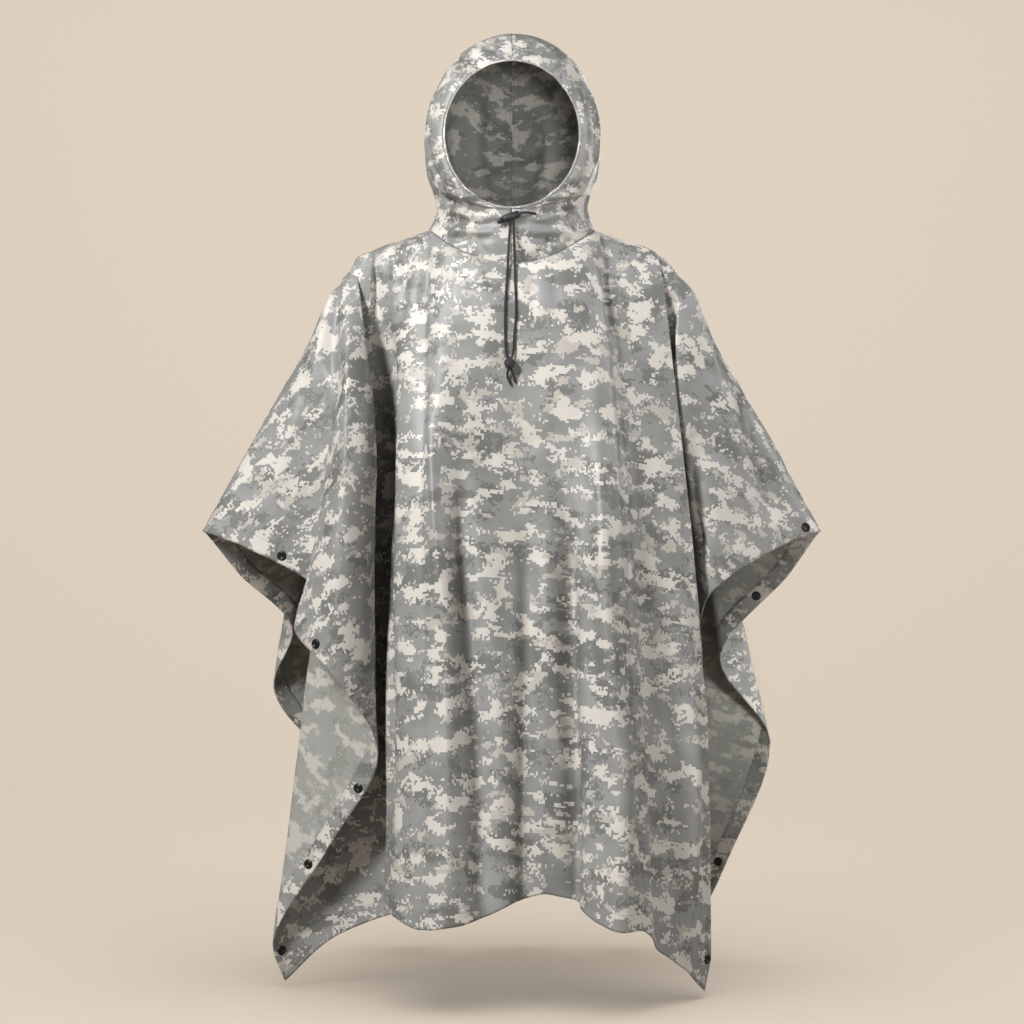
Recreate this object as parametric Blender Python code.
"""Rain poncho with a hood: two draped panels joined along the shoulders and sleeves,
a two-piece hood with a cased face opening, a drawcord with its cord lock, and the
press snaps of the open side edges. The garment is worn and hollow.

Metres, +Z up, +X to the wearer's left, -Y is the front. The origin is the middle
of the neck on the shoulder line. Tables are in millimetres.
"""
import math
from collections import namedtuple

import bmesh
import bpy
import numpy as np
from mathutils import Vector
from mathutils.bvhtree import BVHTree

MM = 0.001
FRONT, BACK = -1, 1
COLLECTION = "rain_poncho"

# ---------------------------------------------------------------- driving sizes
SEAM_GAP = 0.0003           # clearance between two sewn pieces
CLOTH = 0.0017              # wall of a single layer of cloth
HEM_CLOTH = 0.0026          # wall where the cloth is turned up and stitched
DROP = 1.05                 # length of one panel, shoulder line to hem, as cut

NECK_HALF_WIDTH = 0.125
NECK_FRONT_DEPTH = 0.112
NECK_BACK_DEPTH = 0.095
NECK_SIDE_Z = 0.014
NECK_FRONT_Z = -0.047
NECK_BACK_Z = 0.0
NECK_CUT = 0.180            # neck seam from its middle to the shoulder line
GATHER_CUT = 0.337          # where the sleeve folds gather, from the middle of the neck
TIP_CUT = 0.763             # half width of the cut panel, middle to sleeve tip

FACE_CENTRE_Z = 0.1426      # face opening, an upright oval
FACE_HALF_WIDTH = 0.1010
FACE_HALF_HEIGHT = 0.1110
FACE_TOP_Y = -0.095
FACE_CHIN_Y = -0.120

CASING_RADIUS = 0.0026      # rolled casing that holds the drawcord
CORD_DIAMETER = 0.0035
KNOT_RADIUS = 0.0078
LOCK_LENGTH = 0.026
LOCK_RADIUS = 0.0055
LOCK_BUTTON_LENGTH = 0.009
LOCK_BUTTON_RADIUS = 0.0038
SNAP_RADIUS = 0.0072
SNAP_HEIGHT = 0.0022
SNAP_INSET = 0.0125         # snap centre from the finished edge
SNAP_SEARCH = 0.012         # how far from the smooth sheet the wall may lie

# Shoulder and sleeve line: distance along the seam beyond the neck, place in x and z.
RidgePoint = namedtuple("RidgePoint", "along x z")
RIDGE = (
    RidgePoint(0, 125, 14), RidgePoint(32, 155, 3), RidgePoint(79, 200, -12),
    RidgePoint(113, 230, -30), RidgePoint(157, 255, -66), RidgePoint(260, 305, -155),
    RidgePoint(381, 365, -260), RidgePoint(583, 464.5, -436.5),
)

# One row for each fold line of a panel, from the right sleeve tip to the left one.
# It runs from the shoulder seam to the edge of the panel.
#   cut       where it starts, along the seam from the middle of the neck
#   rim       where it ends, on the side edge or on the hem
#   bow_x, y  how far it bows out of the straight line, one and two thirds down
#   corner    1 where the panel's square corner is
FoldLine = namedtuple("FoldLine", "name cut rim_x rim_y rim_z bow_x1 bow_x2 bow_y1 bow_y2 corner")
FRONT_LINES = (
    FoldLine("sleeve tip", -337, -465, 0, -436, 0, 0, 0, 0, 0),
    FoldLine("sleeve front", -334, -390, -45, -463, 0, 0, -45, -25, 0),
    FoldLine("sleeve valley", -328, -288, -75, -523, 0, 0, -45, -25, 0),
    FoldLine("first fold, outer", -322, -314, -130, -576, 15, 12, -67, -38, 0),
    FoldLine("first fold, crown", -312, -259, -185, -636, 10, 8, -88, -62, 0),
    FoldLine("first fold, inner", -300, -191, -135, -755, 23, 12, -80, -50, 0),
    FoldLine("second layer", -292, -265, -100, -894, 5, 5, -47, -28, 0),
    FoldLine("second turn", -284, -351, -62, -1042, 0, 0, -34, -21, 0),
    FoldLine("front corner", -276, -336, -45, -1103, 0, 0, -30, -18, 1),
    FoldLine("third layer", -268, -270, -45, -1042, 0, 0, -28, -15, 0),
    FoldLine("third layer, inner", -260, -188, -55, -1005, 0, 0, -27, -13, 0),
    FoldLine("deep valley", -245, -162, -75, -996, 0, -6, -30, -15, 0),
    FoldLine("chest, outer", -212, -184, -160, -977, -3, -8, -80, -45, 0),
    FoldLine("crest", -180, -122, -250, -992, 0, 0, -77, -40, 0),
    FoldLine("chest a", -135, -79, -262, -986, 0, 0, -60, -25, 0),
    FoldLine("chest b", -90, -35, -255, -973, 0, 0, -30, -15, 0),
    FoldLine("chest c", -45, 7, -235, -955, 0, 0, -15, -12, 0),
    FoldLine("recess", 0, 47, -215, -947, 0, 0, -15, -12, 0),
    FoldLine("chest d", 45, 84, -235, -957, 0, 0, -15, -12, 0),
    FoldLine("chest e", 90, 120, -262, -981, 0, 0, -30, -15, 0),
    FoldLine("second crest", 135, 153, -270, -993, 0, 0, -60, -25, 0),
    FoldLine("crease", 180, 186, -245, -995, 8, 0, -78, -42, 0),
    FoldLine("side strip", 222, 232, -190, -1046, 0, 0, -72, -38, 0),
    FoldLine("front corner", 254, 281, -128, -1101, 14, 15, -76, -46, 1),
    FoldLine("side fold", 268, 290, -108, -1030, 18, 20, -75, -48, 0),
    FoldLine("underfold", 284, 174, -55, -833, 0, 0, -50, -28, 0),
    FoldLine("sleeve valley", 300, 274, -45, -580, 0, 0, -35, -20, 0),
    FoldLine("sleeve fold", 314, 291, -105, -525, -20, -13, -45, -25, 0),
    FoldLine("sleeve front", 330, 397, -45, -460, 0, 0, -45, -25, 0),
    FoldLine("sleeve tip", 337, 465, 0, -436, 0, 0, 0, 0, 0),
)
BACK_LINES = (
    FoldLine("sleeve tip", -337, -465, 0, -436, 0, 0, 0, 0, 0),
    FoldLine("sleeve back", -333, -412, 45, -505, 0, 0, 35, 20, 0),
    FoldLine("first turn", -326, -338, 90, -586, 0, 0, 45, 30, 0),
    FoldLine("second turn", -318, -371, 130, -680, 0, -8, 62, 43, 0),
    FoldLine("third layer", -306, -330, 160, -751, 0, 0, 87, 58, 0),
    FoldLine("third turn", -292, -184, 180, -861, 0, 0, 90, 55, 0),
    FoldLine("fourth turn", -278, -308, 215, -1009, 0, 0, 88, 52, 0),
    FoldLine("back corner", -262, -281, 210, -1055, 0, 0, 80, 50, 1),
    FoldLine("back valley", -240, -228, 190, -1032, 0, 0, 70, 40, 0),
    FoldLine("shoulder fold", -210, -192, 275, -1008, 0, 0, 80, 45, 0),
    FoldLine("back a", -180, -155, 300, -1000, 0, 0, 75, 35, 0),
    FoldLine("back b", -135, -115, 262, -990, 0, 0, 55, 25, 0),
    FoldLine("back c", -90, -84, 218, -978, 0, 0, 30, 15, 0),
    FoldLine("back d", -45, -48, 242, -978, 0, 0, 18, 10, 0),
    FoldLine("back middle", 0, -5, 298, -985, 0, 0, 18, 10, 0),
    FoldLine("back e", 45, 38, 300, -987, 0, 0, 18, 10, 0),
    FoldLine("back f", 90, 76, 242, -978, 0, 0, 30, 15, 0),
    FoldLine("back g", 135, 108, 216, -978, 0, 0, 55, 25, 0),
    FoldLine("back h", 180, 150, 268, -990, 0, 0, 75, 35, 0),
    FoldLine("shoulder fold", 212, 193, 298, -1003, 0, 0, 80, 45, 0),
    FoldLine("back valley", 240, 236, 205, -1030, 0, 0, 70, 40, 0),
    FoldLine("back corner", 262, 253, 190, -1060, 0, 0, 80, 50, 1),
    FoldLine("fourth turn", 278, 296, 185, -1039, 0, 0, 85, 50, 0),
    FoldLine("third layer", 292, 342, 170, -947, 0, 0, 80, 50, 0),
    FoldLine("second turn", 306, 402, 140, -766, 0, 0, 62, 43, 0),
    FoldLine("first turn", 320, 321, 90, -632, 0, 0, 45, 30, 0),
    FoldLine("sleeve back", 331, 419, 45, -505, 0, 0, 35, 20, 0),
    FoldLine("sleeve tip", 337, 465, 0, -436, 0, 0, 0, 0, 0),
)
ROLL_AT = 0.09                      # where a fold line has rolled over the shoulder
STATIONS = (0.0, ROLL_AT, 1 / 3, 2 / 3, 1.0)
ROLL_DEPTHS = ((0, 14), (180, 50), (337, 35))     # seam distance, roll forward or back
ROLL_DROP = 0.35                    # how much of the roll's depth it also falls

# Rows of the panel's wall, as fractions of the way from the seam to the edge.
PANEL_ROWS = (0.0, 0.03, 0.065, 0.11, 0.17, 0.24, 0.32, 0.40, 0.48, 0.56,
              0.64, 0.72, 0.80, 0.88, 0.95, 1.0)
HEM_ROWS = 2
STEPS_PER_FOLD = 2

# One row for each level of the hood, neck to crown: its face edge, its widest
# place at the side and its place on the middle seam at the back.
# The first levels lie below the face opening and close on the chin seam.
HoodRing = namedtuple("HoodRing", "face_angle chin_y chin_z side_x side_y side_z back_y back_z")
HOOD_RINGS = (
    HoodRing(0, -NECK_FRONT_DEPTH / MM, NECK_FRONT_Z / MM, NECK_HALF_WIDTH / MM, 0,
             NECK_SIDE_Z / MM, NECK_BACK_DEPTH / MM, NECK_BACK_Z / MM),
    HoodRing(0, -118, -12, 112, 5, 46, 98, 30),
    HoodRing(0, -120, 31.6, 119, 8, 72, 113, 66),
    HoodRing(35, -120, 31.6, 127, 10, 97, 130, 102),
    HoodRing(65, -120, 31.6, 131, 12, 128, 138, 138),
    HoodRing(95, -120, 31.6, 130, 12, 168, 140, 175),
    HoodRing(125, -120, 31.6, 119, 12, 216, 132, 214),
    HoodRing(150, -120, 31.6, 93, 12, 264, 118, 246),
    HoodRing(168, -120, 31.6, 52, 12, 297, 105, 267),
    HoodRing(180, -120, 31.6, 0, 12, 310, 92, 281),
)
CHIN_LEVEL = 2                      # the level at the bottom of the face opening
HOOD_STEPS_PER_RING = 2
HOOD_STEPS_PER_QUARTER = 8

# Press snaps: distance down the side edge from the sleeve tip, as cut.
SNAP_EDGES = {
    "front_right": (158, 400, 700, 850, 1025),
    "front_left": (45, 410, 560, 800, 1025),
    "back_right": (650, 860, 1020),
    "back_left": (215, 890, 1020),
}

# Drawcord: each strand hangs straight from the cord lock to the chest, lies on the
# chest and ends at the knot; each tail leaves the knot and ends on the chest.
#   top, end       places in x and z
#   on_chest       places in x and z where it lies on the cloth
#   knot_way       direction in which it leaves the knot
CordRun = namedtuple("CordRun", "top on_chest knot_way end")
CORD_RUNS = {
    "drawcord_right": CordRun((-2.6, 12.4), ((-8, -84), (-9.5, -108), (-10, -132), (-9.5, -158)),
                              (-0.32, 0.36, 1), None),
    "drawcord_left": CordRun((2.4, 14.2), ((5, -84), (5.8, -106), (5.6, -128), (3.4, -152)),
                             (0.32, 0.36, 1), None),
    "drawcord_tail_right": CordRun(None, (), (-0.22, 0.15, -1), (-1.4, -225.5)),
    "drawcord_tail_left": CordRun(None, (), (0.34, 0.15, -1), (4.3, -221.0)),
}
KNOT_X = -0.0035
KNOT_Z = -0.195
KNOT_LEAD = 0.009           # straight run of cord at the knot
LAY_GAP = 0.0004            # clearance of a cord that lies on cloth
LOCK_X = -0.001
LOCK_Z = 0.020
LOCK_TILT = 20              # degrees, its button end lower
ENTRY = ((27, 26.2), (31, 25.6), (35, 25.0))    # from the lock along the hood to its casing

COLOURS = {                 # colour, roughness, metallic
    "camouflage_outer": ((0.30, 0.30, 0.28), 0.45, 0.0),
    "camouflage_hood": ((0.33, 0.33, 0.30), 0.45, 0.0),
    "casing_cloth": ((0.38, 0.37, 0.34), 0.50, 0.0),
    "black_cord": ((0.012, 0.012, 0.013), 0.75, 0.0),
    "black_plastic": ((0.015, 0.015, 0.016), 0.35, 0.0),
    "black_snap": ((0.020, 0.020, 0.021), 0.30, 0.6),
}


# ---------------------------------------------------------------- smooth curves
def spline(points, knots, at, sharp=None, start_slope=None, end_slope=None):
    """Smooth curve through the points at the knots; sharp (0 to 1) breaks it at a point."""
    points = np.asarray(points, float)
    knots = np.asarray(knots, float)
    shape = (-1,) + (1,) * (points.ndim - 1)
    steps = np.diff(knots).reshape(shape)
    slopes = np.diff(points, axis=0) / steps
    inner = (slopes[:-1] * steps[1:] + slopes[1:] * steps[:-1]) / (steps[:-1] + steps[1:])
    first = slopes[:1] if start_slope is None else np.asarray(start_slope, float)[None]
    last = slopes[-1:] if end_slope is None else np.asarray(end_slope, float)[None]
    before = np.concatenate([first, inner, last])
    after = before.copy()
    if sharp is not None:
        weight = np.asarray(sharp, float).reshape(shape)
        before[1:] += (slopes - before[1:]) * weight[1:]
        after[:-1] += (slopes - after[:-1]) * weight[:-1]
    at = np.asarray(at, float)
    piece = np.clip(np.searchsorted(knots, at, side="right") - 1, 0, len(knots) - 2)
    step = steps[piece]
    f = (at.reshape(shape) - knots[piece].reshape(shape)) / step
    return ((2 * f**3 - 3 * f**2 + 1) * points[piece] + (f**3 - 2 * f**2 + f) * step * after[piece]
            + (3 * f**2 - 2 * f**3) * points[piece + 1] + (f**3 - f**2) * step * before[piece + 1])


# ---------------------------------------------------------------- seams
def neck_point(angle, side):
    """A place on the neck seam; the angle is 0 in the middle, 90 degrees at the shoulder."""
    depth = NECK_FRONT_DEPTH if side == FRONT else NECK_BACK_DEPTH
    middle_z = NECK_FRONT_Z if side == FRONT else NECK_BACK_Z
    x = NECK_HALF_WIDTH * math.sin(angle)
    y = side * depth * math.cos(angle)
    z = NECK_SIDE_Z + (middle_z - NECK_SIDE_Z) * math.cos(angle) ** 2
    return np.array((x, y, z))


def seam_point(cut, side):
    """A place on the seam of a panel, cut metres from the middle of the neck."""
    if abs(cut) <= NECK_CUT:
        return neck_point(cut / NECK_CUT * math.pi / 2, side)
    along = [row.along * MM for row in RIDGE]
    places = [(row.x * MM, row.z * MM) for row in RIDGE]
    x, z = spline(places, along, [abs(cut) - NECK_CUT])[0]
    return np.array((math.copysign(x, cut), 0.0, z))


def neck_mitre(point):
    """Direction in which the walls of hood and panel are thick at the neck seam."""
    out = np.array((point[0] / NECK_HALF_WIDTH, point[1] / NECK_FRONT_DEPTH, 0.0))
    out /= np.linalg.norm(out)
    mitre = out + np.array((0, 0, 1.0))
    return mitre / np.linalg.norm(mitre)


# ---------------------------------------------------------------- panel surface
class Panel:
    """A draped panel: a smooth sheet through its fold lines."""

    def __init__(self, lines, side):
        self.side = side
        self.lines = lines
        self.count = len(lines)
        self.cuts = np.array([row.cut for row in lines]) * MM
        self.seam = np.array([seam_point(cut, side) for cut in self.cuts])
        self.rim = np.array([(row.rim_x, row.rim_y, row.rim_z) for row in lines]) * MM
        self.corner = np.array([row.corner for row in lines], float)
        self.places = self.line_places()
        self.edge = self.flat_rims()

    def line_places(self):
        """Places of every fold line at its stations."""
        bow = np.zeros((len(STATIONS), self.count, 3))
        bow[2, :, 0] = [row.bow_x1 for row in self.lines]
        bow[3, :, 0] = [row.bow_x2 for row in self.lines]
        bow[2, :, 1] = [row.bow_y1 for row in self.lines]
        bow[3, :, 1] = [row.bow_y2 for row in self.lines]
        down = np.array(STATIONS).reshape(-1, 1, 1)
        places = self.seam + (self.rim - self.seam) * down + bow * MM
        cut, depth = np.transpose(ROLL_DEPTHS) * MM
        roll = np.interp(np.abs(self.cuts), cut, depth)
        places[1, :, 1] = self.seam[:, 1] + self.side * roll
        places[1, :, 2] = self.seam[:, 2] - ROLL_DROP * roll
        return places

    def flat_rims(self):
        """Where each fold line ends on the flat panel, as cut: x and y from the neck."""
        lengths = np.linalg.norm(np.diff(self.rim, axis=0), axis=1)
        run = np.concatenate([[0], np.cumsum(lengths)])
        first, last = np.flatnonzero(self.corner)
        flat = np.zeros((self.count, 2))
        for i in range(self.count):
            if i <= first:
                flat[i] = (-TIP_CUT, -DROP * run[i] / run[first])
            elif i < last:
                across = (run[i] - run[first]) / (run[last] - run[first])
                flat[i] = (-TIP_CUT + 2 * TIP_CUT * across, -DROP)
            else:
                flat[i] = (TIP_CUT, -DROP * (run[-1] - run[i]) / (run[-1] - run[last]))
        return flat

    def ridge_line(self, end, down):
        """The sleeve seam itself, which is the panel's first and last fold line."""
        cut = GATHER_CUT + (TIP_CUT - GATHER_CUT) * down
        return seam_point(math.copysign(cut, self.cuts[end]), self.side)

    def row(self, down, across):
        """Points at the fraction down, at places across counted in fold lines."""
        lines = spline(self.places, STATIONS, [down])[0]
        lines[0] = self.ridge_line(0, down)
        lines[-1] = self.ridge_line(-1, down)
        index = np.arange(self.count)
        seam = np.array([seam_point(c, self.side) for c in np.interp(across, index, self.cuts)])
        if down == 0:
            return seam
        moved = lines - self.seam
        chords = np.sqrt(np.linalg.norm(np.diff(moved, axis=0), axis=1) + 1e-6)
        knots = np.concatenate([[0], np.cumsum(chords)])
        level = np.array((0, 1.0, 0)) * self.side
        at = np.interp(across, index, knots)
        sheet = spline(moved, knots, at, sharp=self.corner * down**6,
                       start_slope=level * chords[0], end_slope=-level * chords[-1])
        return seam + sheet

    def grid(self, rows, across):
        return np.array([self.row(down, across) for down in rows])

    def place_on_edge(self, distance, left):
        """Fold-line count at which the side edge is this far below the sleeve tip."""
        first, last = np.flatnonzero(self.corner)
        if left:
            return float(np.interp(distance, -self.edge[last:, 1][::-1],
                                   np.arange(last, self.count)[::-1]))
        return float(np.interp(distance, -self.edge[:first + 1, 1], np.arange(first + 1)))


def grid_normals(grid, side):
    """Outward normals of a panel's grid."""
    across = np.gradient(grid, axis=1)
    down = np.gradient(grid, axis=0)
    normals = np.cross(across, down) * side
    lengths = np.linalg.norm(normals, axis=2, keepdims=True)
    normals /= np.maximum(lengths, 1e-12)
    normals[0, [0, -1]] = normals[1, [0, -1]]
    return normals


# ---------------------------------------------------------------- mesh helpers
def material(name):
    if name in bpy.data.materials:
        return bpy.data.materials[name]
    made = bpy.data.materials.new(name)
    made.use_nodes = True
    shader = made.node_tree.nodes["Principled BSDF"]
    colour, roughness, metallic = COLOURS[name]
    shader.inputs["Base Color"].default_value = (*colour, 1.0)
    shader.inputs["Roughness"].default_value = roughness
    shader.inputs["Metallic"].default_value = metallic
    return made


def add_object(name, data, finish):
    thing = bpy.data.objects.new(name, data)
    data.materials.append(material(finish))
    bpy.data.collections[COLLECTION].objects.link(thing)
    return thing


def mesh_from(bm, name):
    bmesh.ops.recalc_face_normals(bm, faces=bm.faces)
    mesh = bpy.data.meshes.new(name)
    bm.to_mesh(mesh)
    bm.free()
    return mesh


def cloth_wall(name, outer, inner, finish):
    """A closed wall of cloth between two grids of the same size."""
    rows, columns = outer.shape[:2]
    bm = bmesh.new()
    sheets = []
    for grid in (outer, inner):
        made = bmesh.ops.create_grid(bm, x_segments=columns - 1, y_segments=rows - 1, size=1)
        verts = made["verts"]
        for vert, place in zip(verts, grid.reshape(-1, 3)):
            vert.co = place
        sheets.append(verts)
    turn = ([(0, i) for i in range(columns)] + [(j, columns - 1) for j in range(1, rows)]
            + [(rows - 1, i) for i in range(columns - 2, -1, -1)] + [(j, 0) for j in range(rows - 2, 0, -1)])
    edge = [j * columns + i for j, i in turn]
    for a, b in zip(edge, edge[1:] + edge[:1]):
        bm.faces.new((sheets[0][a], sheets[0][b], sheets[1][b], sheets[1][a]))
    return add_object(name, mesh_from(bm, name), finish)


# ---------------------------------------------------------------- the pieces
def across_steps(count, steps):
    return np.linspace(0, count - 1, (count - 1) * steps + 1)


def build_panel(name, panel):
    """One panel of the body: outer face through its fold lines, hem turned inward."""
    across = across_steps(panel.count, STEPS_PER_FOLD)
    outer = panel.grid(PANEL_ROWS, across)
    normals = grid_normals(outer, panel.side)
    cuts = np.interp(across, np.arange(panel.count), panel.cuts)
    on_ridge = normals[:, [0, -1]]
    on_ridge[:, :, 1] = 0
    normals[:, [0, -1]] = on_ridge
    for i, cut in enumerate(cuts):
        if abs(cut) < NECK_CUT + 1e-6:
            normals[0, i] = neck_mitre(outer[0, i])
        else:
            normals[0, i, 1] = 0
    normals /= np.linalg.norm(normals, axis=2, keepdims=True)
    at_neck = np.abs(cuts) < NECK_CUT - 1e-6
    radial = outer[0, at_neck] * (1, 1, 0)
    radial /= np.linalg.norm(radial, axis=1, keepdims=True)
    outer[0, at_neck] += radial * SEAM_GAP / 2
    thickness = np.full(len(PANEL_ROWS), CLOTH)
    thickness[-HEM_ROWS:] = HEM_CLOTH
    inner = outer - normals * thickness.reshape(-1, 1, 1)
    for grid in (outer, inner):
        away = np.maximum(grid[:, :, 1] * panel.side, SEAM_GAP / 2)
        grid[:, :, 1] = away * panel.side
    return cloth_wall(name, outer, inner, "camouflage_outer")


def face_edge(angle):
    """The edge of the face opening; the angle is 0 at the chin and 180 at the brow."""
    a = math.radians(angle)
    chin = ((1 + math.cos(a)) / 2) ** 2
    y = FACE_TOP_Y + (FACE_CHIN_Y - FACE_TOP_Y) * chin
    return np.array((FACE_HALF_WIDTH * math.sin(a), y, FACE_CENTRE_Z - FACE_HALF_HEIGHT * math.cos(a)))


def hood_ring(level):
    """Points of one level of the hood's left half, face edge to back seam."""
    levels = np.arange(len(HOOD_RINGS))
    sizes = [(r.chin_y, r.chin_z, r.side_x, r.side_y, r.side_z, r.back_y, r.back_z) for r in HOOD_RINGS]
    chin_y, chin_z, side_x, side_y, side_z, back_y, back_z = spline(sizes, levels, [level])[0] * MM
    if level < CHIN_LEVEL:
        face = np.array((0, chin_y, chin_z))
    else:
        face = face_edge(np.interp(level, levels, [r.face_angle for r in HOOD_RINGS]))
    quarter = np.linspace(0, math.pi / 2, HOOD_STEPS_PER_QUARTER + 1)
    sin, cos = np.sin(quarter), np.cos(quarter)
    forward = np.transpose((face[0] + (side_x - face[0]) * sin, side_y + (face[1] - side_y) * cos,
                            side_z + (face[2] - side_z) * cos**2))
    rearward = np.transpose((side_x * cos, side_y + (back_y - side_y) * sin,
                             side_z + (back_z - side_z) * sin**2))
    return np.concatenate([forward[:-1], rearward])


def hood_grid():
    """Outer face of the hood's left half: a row for each level, face edge to back seam."""
    return np.array([hood_ring(level) for level in across_steps(len(HOOD_RINGS), HOOD_STEPS_PER_RING)])


def build_hood_half(name, hand):
    """Half of the hood; hand is 1 for the wearer's left half, -1 for the right."""
    outer = hood_grid()
    normals = np.cross(np.gradient(outer, axis=1), np.gradient(outer, axis=0))
    normals /= np.maximum(np.linalg.norm(normals, axis=2, keepdims=True), 1e-12)
    for j, row in enumerate(outer):
        for i, place in enumerate(row):
            if place[0] < 1e-6:
                normals[j, i, 0] = 0
    normals[0] = [neck_mitre(place) for place in outer[0]]
    normals /= np.linalg.norm(normals, axis=2, keepdims=True)
    inner = outer - normals * CLOTH
    for grid in (outer, inner):
        grid[0, :, 2] += SEAM_GAP * 0.8
        grid[:, :, 0] = np.maximum(grid[:, :, 0], SEAM_GAP / 2) * hand
    return cloth_wall(name, outer, inner, "camouflage_hood")


def build_tube(name, points, radius, finish, closed=False, resolution=2):
    """A round tube along a line of points."""
    curve = bpy.data.curves.new(name, "CURVE")
    curve.dimensions = "3D"
    curve.bevel_depth = radius
    curve.bevel_resolution = resolution
    curve.use_fill_caps = True
    line = curve.splines.new("POLY")
    line.points.add(len(points) - 1)
    for point, place in zip(line.points, points):
        point.co = (*place, 1.0)
    line.use_cyclic_u = closed
    return add_object(name, curve, finish)


def route(places, spacing):
    """Evenly read points along a smooth curve through the places."""
    chords = np.linalg.norm(np.diff(places, axis=0), axis=1)
    knots = np.concatenate([[0], np.cumsum(chords)])
    count = max(3, round(knots[-1] / spacing) + 1)
    return spline(places, knots, np.linspace(0, knots[-1], count))


def build_casing():
    """The rolled casing around the face opening, just inside the hood's edge."""
    left = hood_grid()[CHIN_LEVEL * HOOD_STEPS_PER_RING:, 0]
    edge = np.concatenate([left, left[-2:0:-1] * (-1, 1, 1)])
    inward = (np.array((0, 0, FACE_CENTRE_Z)) - edge) * (1, 0, 1)
    inward /= np.linalg.norm(inward, axis=1, keepdims=True)
    places = edge + inward * (CASING_RADIUS + 2 * SEAM_GAP)
    return build_tube("hood_casing", places, CASING_RADIUS, "casing_cloth", closed=True, resolution=1)


def wall_tree(wall):
    return BVHTree.FromObject(wall, bpy.context.evaluated_depsgraph_get())


def lie_on(tree, x, z, radius):
    """Centre of something round that lies on the front of a wall at x and z."""
    nearest = []
    for dx, dz in ((0, 0), (-0.7, 0), (0.7, 0), (0, -0.7), (0, 0.7)):
        start = Vector((x + dx * radius, -1.0, z + dz * radius))
        hit = tree.ray_cast(start, Vector((0, 1, 0)))[0]
        lean = radius * (1 - math.sqrt(1 - dx * dx - dz * dz))
        nearest.append(hit.y + lean)
    return np.array((x, min(nearest) - radius - LAY_GAP, z))


def build_drawcord(front_wall, hood_wall, lock):
    """Two strands from the cord lock to the knot, its two tails and the lead to the casing."""
    tree = wall_tree(front_wall)
    spacing = CORD_DIAMETER * 2.5
    radius = CORD_DIAMETER / 2
    knot_centre = lie_on(tree, KNOT_X, KNOT_Z, KNOT_RADIUS)
    for name, run in CORD_RUNS.items():
        way = np.array(run.knot_way) / np.linalg.norm(run.knot_way)
        at_knot = knot_centre + way * (KNOT_RADIUS + SEAM_GAP)
        places = [lie_on(tree, x * MM, z * MM, radius) for x, z in run.on_chest]
        if run.top:
            x, z = run.top
            places = [np.array((x * MM, lock.location.y, z * MM))] + places
        places += [at_knot + way * KNOT_LEAD, at_knot]
        if run.end:
            x, z = run.end
            places = [lie_on(tree, x * MM, z * MM, radius)] + places
        build_tube(name, route(places, spacing), radius, "black_cord")
    bm = bmesh.new()
    bmesh.ops.create_uvsphere(bm, u_segments=12, v_segments=8, radius=KNOT_RADIUS)
    knot = add_object("drawcord_knot", mesh_from(bm, "drawcord_knot"), "black_cord")
    knot.location = Vector(knot_centre)

    tree = wall_tree(hood_wall)
    axis = np.array(lock_axis())
    end = np.array(lock.location) + axis * (LOCK_LENGTH / 2 + SEAM_GAP)
    places = [end, end + axis * CORD_DIAMETER]
    places += [lie_on(tree, x * MM, z * MM, radius) for x, z in ENTRY]
    build_tube("drawcord_entry", route(places, CORD_DIAMETER * 0.8), radius, "black_cord")


def barrel(name, length, radius, finish):
    """A round toggle piece along x with softened ends."""
    bm = bmesh.new()
    bmesh.ops.create_cone(bm, cap_ends=True, segments=12, radius1=radius, radius2=radius, depth=length)
    rims = [edge for edge in bm.edges if abs(edge.verts[0].co.z - edge.verts[1].co.z) < length * 0.1]
    bmesh.ops.bevel(bm, geom=rims, offset=radius * 0.35, segments=2, profile=0.5, affect="EDGES")
    return add_object(name, mesh_from(bm, name), finish)


def lock_axis():
    """Direction of the cord lock's long axis, away from its button."""
    tilt = math.radians(90 - LOCK_TILT)
    return Vector((math.sin(tilt), 0, math.cos(tilt)))


def build_cord_lock():
    """The cord lock lies across the chin, just below the face opening."""
    chin = hood_grid()[:CHIN_LEVEL * HOOD_STEPS_PER_RING + 1, 0]
    chin_y = np.interp(LOCK_Z, chin[:, 2], chin[:, 1])
    turn = (0, math.radians(90 - LOCK_TILT), 0)
    body = barrel("cord_lock_body", LOCK_LENGTH, LOCK_RADIUS, "black_plastic")
    body.rotation_euler = turn
    body.location = (LOCK_X, chin_y - LOCK_RADIUS - SEAM_GAP, LOCK_Z)
    button = barrel("cord_lock_button", LOCK_BUTTON_LENGTH, LOCK_BUTTON_RADIUS, "black_plastic")
    button.rotation_euler = turn
    button.location = body.location - lock_axis() * ((LOCK_LENGTH + LOCK_BUTTON_LENGTH) / 2 + SEAM_GAP)
    return body


def build_snap_half(name, centre, normal):
    """A press snap's cap or socket: a low disc with a dimple."""
    bm = bmesh.new()
    bmesh.ops.create_cone(bm, cap_ends=True, segments=12, radius1=SNAP_RADIUS,
                          radius2=SNAP_RADIUS * 0.86, depth=SNAP_HEIGHT)
    top = max(bm.faces, key=lambda face: face.calc_center_median().z)
    bmesh.ops.inset_region(bm, faces=[top], thickness=SNAP_RADIUS * 0.38, depth=-SNAP_HEIGHT * 0.4)
    snap = add_object(name, mesh_from(bm, name), "black_snap")
    snap.rotation_euler = Vector(normal).to_track_quat("Z", "Y").to_euler()
    snap.location = Vector(centre) + Vector(normal) * SNAP_HEIGHT / 2


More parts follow.
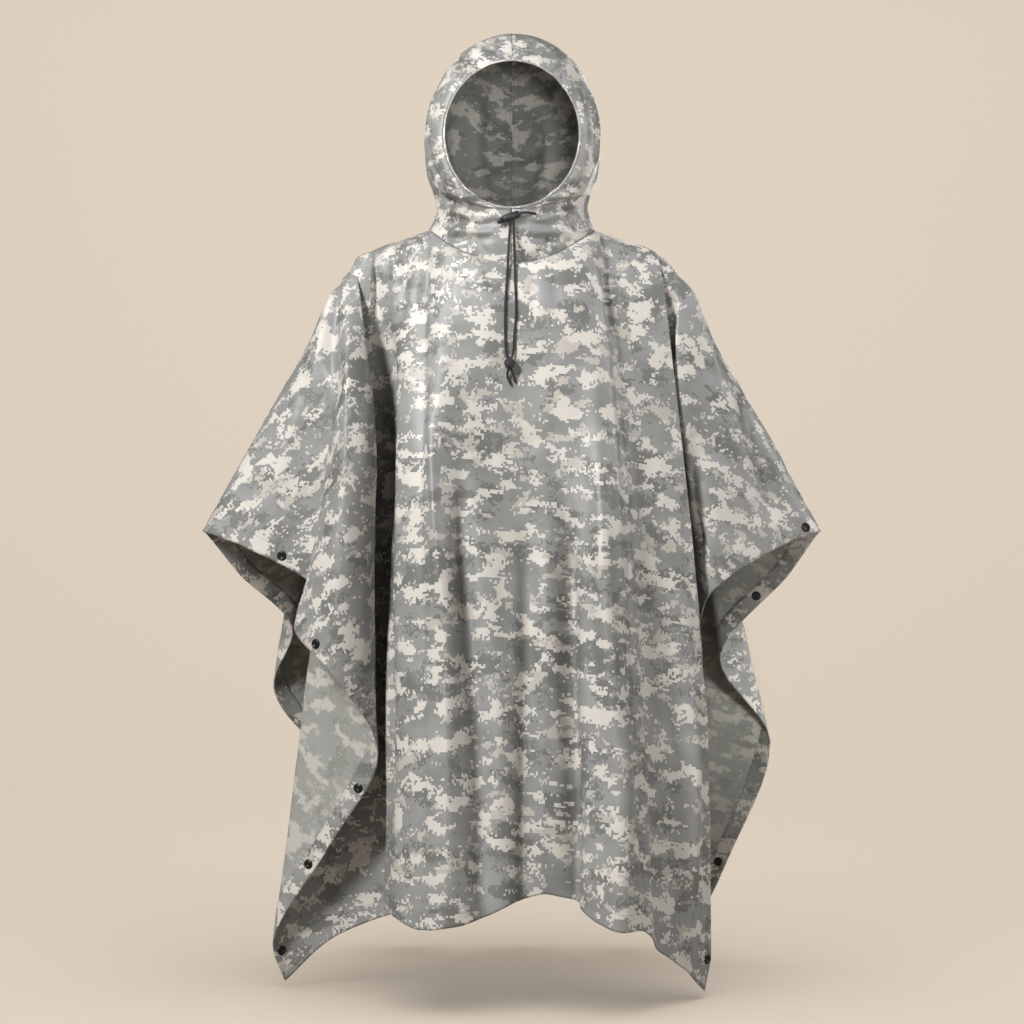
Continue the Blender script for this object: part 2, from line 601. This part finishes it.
def seat_on(tree, centre, outward):
    """Place and direction of a snap half that rests on the wall near the centre."""
    start = Vector(centre) + Vector(outward) * SNAP_SEARCH
    place, facing, _, _ = tree.ray_cast(start, -Vector(outward), 2 * SNAP_SEARCH)
    side = facing.orthogonal().normalized()
    other = facing.cross(side)
    rise = 0.0
    for reach in (SNAP_RADIUS / 3, SNAP_RADIUS * 2 / 3, SNAP_RADIUS * 1.02):
        for k in range(24):
            a = k * math.pi / 12
            start = place + (side * math.cos(a) + other * math.sin(a)) * reach + facing * SNAP_RADIUS
            hit, _, _, far = tree.ray_cast(start, -facing, 2 * SNAP_RADIUS)
            if hit is not None:
                rise = max(rise, SNAP_RADIUS - far)
    return place + facing * (rise + SEAM_GAP), facing


def build_snaps(panel, wall, edge_name):
    """The row of press snaps in one side hem: caps outside, sockets inside."""
    tree = wall_tree(wall)
    left = edge_name.endswith("left")
    for number, distance in enumerate(SNAP_EDGES[edge_name], 1):
        across = panel.place_on_edge(distance * MM, left)
        reach = TIP_CUT - abs(np.interp(across, np.arange(panel.count), panel.cuts))
        down = 1 - SNAP_INSET / reach
        near = panel.grid((down - 0.01, down, down + 0.01), np.array((across - 0.05, across, across + 0.05)))
        normal = grid_normals(near, panel.side)[1, 1]
        for half, facing in (("cap", 1), ("socket", -1)):
            centre, outward = seat_on(tree, near[1, 1], normal * facing)
            build_snap_half(f"snap_{edge_name}_{number}_{half}", centre, outward)


def main():
    for old in list(bpy.data.objects):
        bpy.data.objects.remove(old, do_unlink=True)
    group = bpy.data.collections.new(COLLECTION)
    bpy.context.scene.collection.children.link(group)

    front = Panel(FRONT_LINES, FRONT)
    back = Panel(BACK_LINES, BACK)
    front_wall = build_panel("front_panel", front)
    back_wall = build_panel("back_panel", back)
    hood_wall = build_hood_half("hood_left", 1)
    build_hood_half("hood_right", -1)
    build_casing()
    lock = build_cord_lock()
    build_drawcord(front_wall, hood_wall, lock)
    for edge_name in SNAP_EDGES:
        if edge_name.startswith("front"):
            build_snaps(front, front_wall, edge_name)
        else:
            build_snaps(back, back_wall, edge_name)


main()
